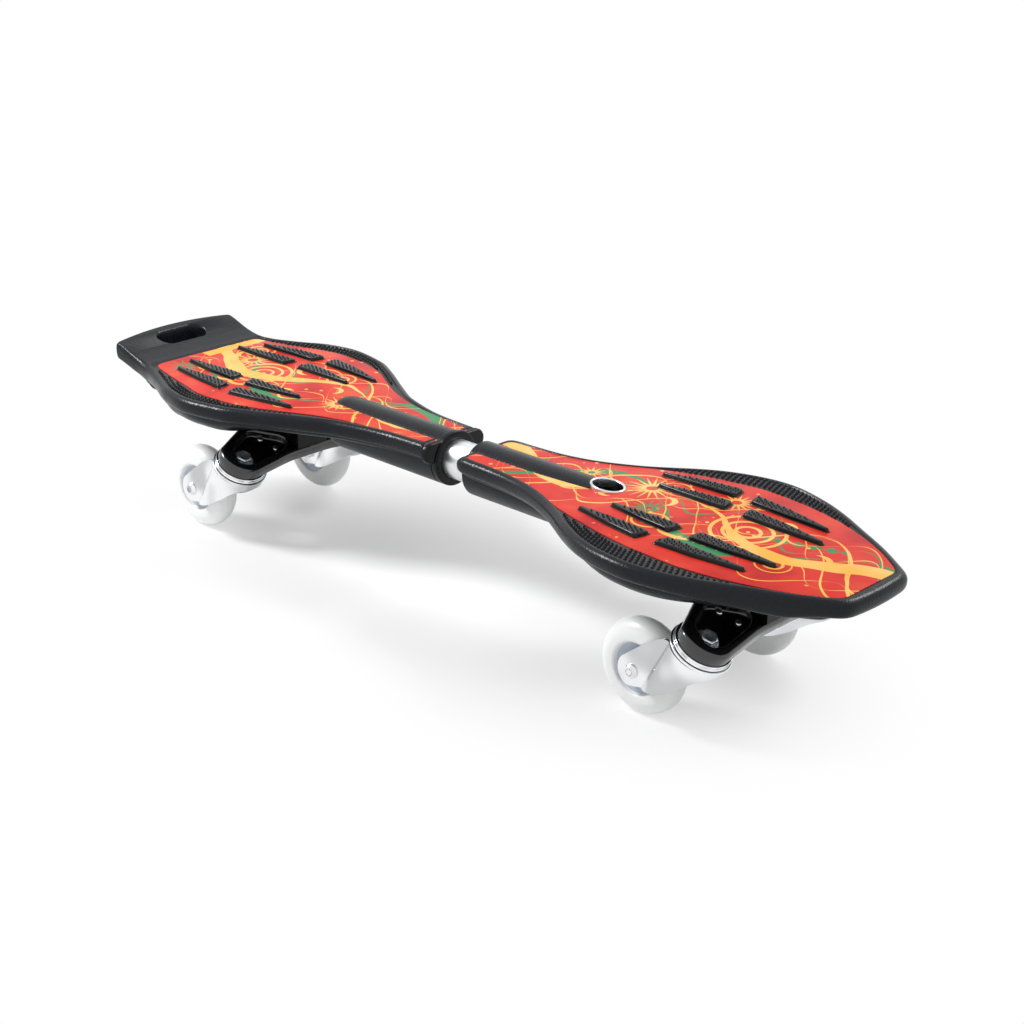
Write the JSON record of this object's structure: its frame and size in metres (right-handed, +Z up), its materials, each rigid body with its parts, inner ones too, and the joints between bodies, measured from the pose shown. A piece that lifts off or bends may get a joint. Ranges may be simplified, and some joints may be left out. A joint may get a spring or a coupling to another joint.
{
  "type": "caster board",
  "caption": "Two foot decks on a sprung twisting tube, each on inclined swivel casters with white wheels; tail with a grab slot.",
  "frame": {"origin": "on the ground under the middle of the board", "axes": "+X towards the nose, +Y to the left of a rider who faces the nose, +Z up"},
  "size_m": [0.82, 0.2164, 0.1457],
  "materials": {
    "deck_plastic": "charcoal plastic with a fine pebbled grain",
    "shell_plastic": "dark grey moulded plastic, fine grain",
    "decal_print": "printed vinyl, red with yellow and green shapes",
    "tube_aluminium": "satin aluminium tube",
    "cap_plastic": "smooth black plastic",
    "bracket_paint": "gloss black paint on pressed steel",
    "wedge_plastic": "black moulded plastic",
    "fork_zinc": "bright zinc plate on pressed steel",
    "race_zinc": "bright plate",
    "bolt_zinc": "blue zinc plate",
    "bearing_steel": "bearing steel",
    "wheel_urethane": "white cast urethane",
    "bush_nylon": "natural nylon",
    "bezel_silver": "satin silver plate"
  },
  "bodies": {
    "front_half": {"front_deck": "deck_plastic", "front_decal": "decal_print", "front_lower_shell": "shell_plastic", "torsion_tube": "tube_aluminium", "torsion_bar": "bearing_steel", "tube_window_bezel": "bezel_silver", "front_bracket": "bracket_paint", "front_wedge": "wedge_plastic", "front_left_kingpin_bolt": "bolt_zinc", "front_left_kingpin_nut": "race_zinc", "front_left_upper_race": "race_zinc", "front_left_ball_ring": "bearing_steel", "front_right_kingpin_bolt": "bolt_zinc", "front_right_kingpin_nut": "race_zinc", "front_right_upper_race": "race_zinc", "front_right_ball_ring": "bearing_steel"},
    "rear_half": {"rear_deck": "deck_plastic", "rear_decal": "decal_print", "rear_lower_shell": "shell_plastic", "neck_cap": "cap_plastic", "inner_bush": "bush_nylon", "bar_anchor": "bearing_steel", "rear_bracket": "bracket_paint", "rear_wedge": "wedge_plastic", "rear_left_kingpin_bolt": "bolt_zinc", "rear_left_kingpin_nut": "race_zinc", "rear_left_upper_race": "race_zinc", "rear_left_ball_ring": "bearing_steel", "rear_right_kingpin_bolt": "bolt_zinc", "rear_right_kingpin_nut": "race_zinc", "rear_right_upper_race": "race_zinc", "rear_right_ball_ring": "bearing_steel"},
    "front_left_swivel": {"front_left_fork": "fork_zinc", "front_left_axle_bolt": "race_zinc", "front_left_axle_nut": "race_zinc"},
    "front_left_roller": {"front_left_wheel": "wheel_urethane", "front_left_spacer": "bearing_steel", "front_left_outer_bearing": "bearing_steel", "front_left_inner_bearing": "bearing_steel"},
    "front_right_swivel": {"front_right_fork": "fork_zinc", "front_right_axle_bolt": "race_zinc", "front_right_axle_nut": "race_zinc"},
    "front_right_roller": {"front_right_wheel": "wheel_urethane", "front_right_spacer": "bearing_steel", "front_right_outer_bearing": "bearing_steel", "front_right_inner_bearing": "bearing_steel"},
    "rear_left_swivel": {"rear_left_fork": "fork_zinc", "rear_left_axle_bolt": "race_zinc", "rear_left_axle_nut": "race_zinc"},
    "rear_left_roller": {"rear_left_wheel": "wheel_urethane", "rear_left_spacer": "bearing_steel", "rear_left_outer_bearing": "bearing_steel", "rear_left_inner_bearing": "bearing_steel"},
    "rear_right_swivel": {"rear_right_fork": "fork_zinc", "rear_right_axle_bolt": "race_zinc", "rear_right_axle_nut": "race_zinc"},
    "rear_right_roller": {"rear_right_wheel": "wheel_urethane", "rear_right_spacer": "bearing_steel", "rear_right_outer_bearing": "bearing_steel", "rear_right_inner_bearing": "bearing_steel"}
  },
  "joints": [
    {"name": "deck_twist", "type": "hinge", "parent": "front_half", "child": "rear_half", "pos_m": [-0.022, 0, 0.1126], "axis": [1, 0, 0], "range_deg": [-25, 25], "stiffness_Nm_per_rad": 14},
    {"name": "front_left_swivel", "type": "hinge", "parent": "front_half", "child": "front_left_swivel", "pos_m": [0.3057, 0.069, 0.06992], "axis": [0.4833, 0, 0.8755], "continuous": true},
    {"name": "front_left_roll", "type": "hinge", "parent": "front_left_swivel", "child": "front_left_roller", "pos_m": [0.25324, 0.069, 0.038], "axis": [0, 1, 0], "continuous": true},
    {"name": "front_right_swivel", "type": "hinge", "parent": "front_half", "child": "front_right_swivel", "pos_m": [0.3057, -0.069, 0.06992], "axis": [0.4833, 0, 0.8755], "continuous": true},
    {"name": "front_right_roll", "type": "hinge", "parent": "front_right_swivel", "child": "front_right_roller", "pos_m": [0.25324, -0.069, 0.038], "axis": [0, 1, 0], "continuous": true},
    {"name": "rear_left_swivel", "type": "hinge", "parent": "rear_half", "child": "rear_left_swivel", "pos_m": [-0.2204, 0.069, 0.06992], "axis": [0.4833, 0, 0.8755], "continuous": true},
    {"name": "rear_left_roll", "type": "hinge", "parent": "rear_left_swivel", "child": "rear_left_roller", "pos_m": [-0.27286, 0.069, 0.038], "axis": [0, 1, 0], "continuous": true},
    {"name": "rear_right_swivel", "type": "hinge", "parent": "rear_half", "child": "rear_right_swivel", "pos_m": [-0.2204, -0.069, 0.06992], "axis": [0.4833, 0, 0.8755], "continuous": true},
    {"name": "rear_right_roll", "type": "hinge", "parent": "rear_right_swivel", "child": "rear_right_roller", "pos_m": [-0.27286, -0.069, 0.038], "axis": [0, 1, 0], "continuous": true}
  ]
}
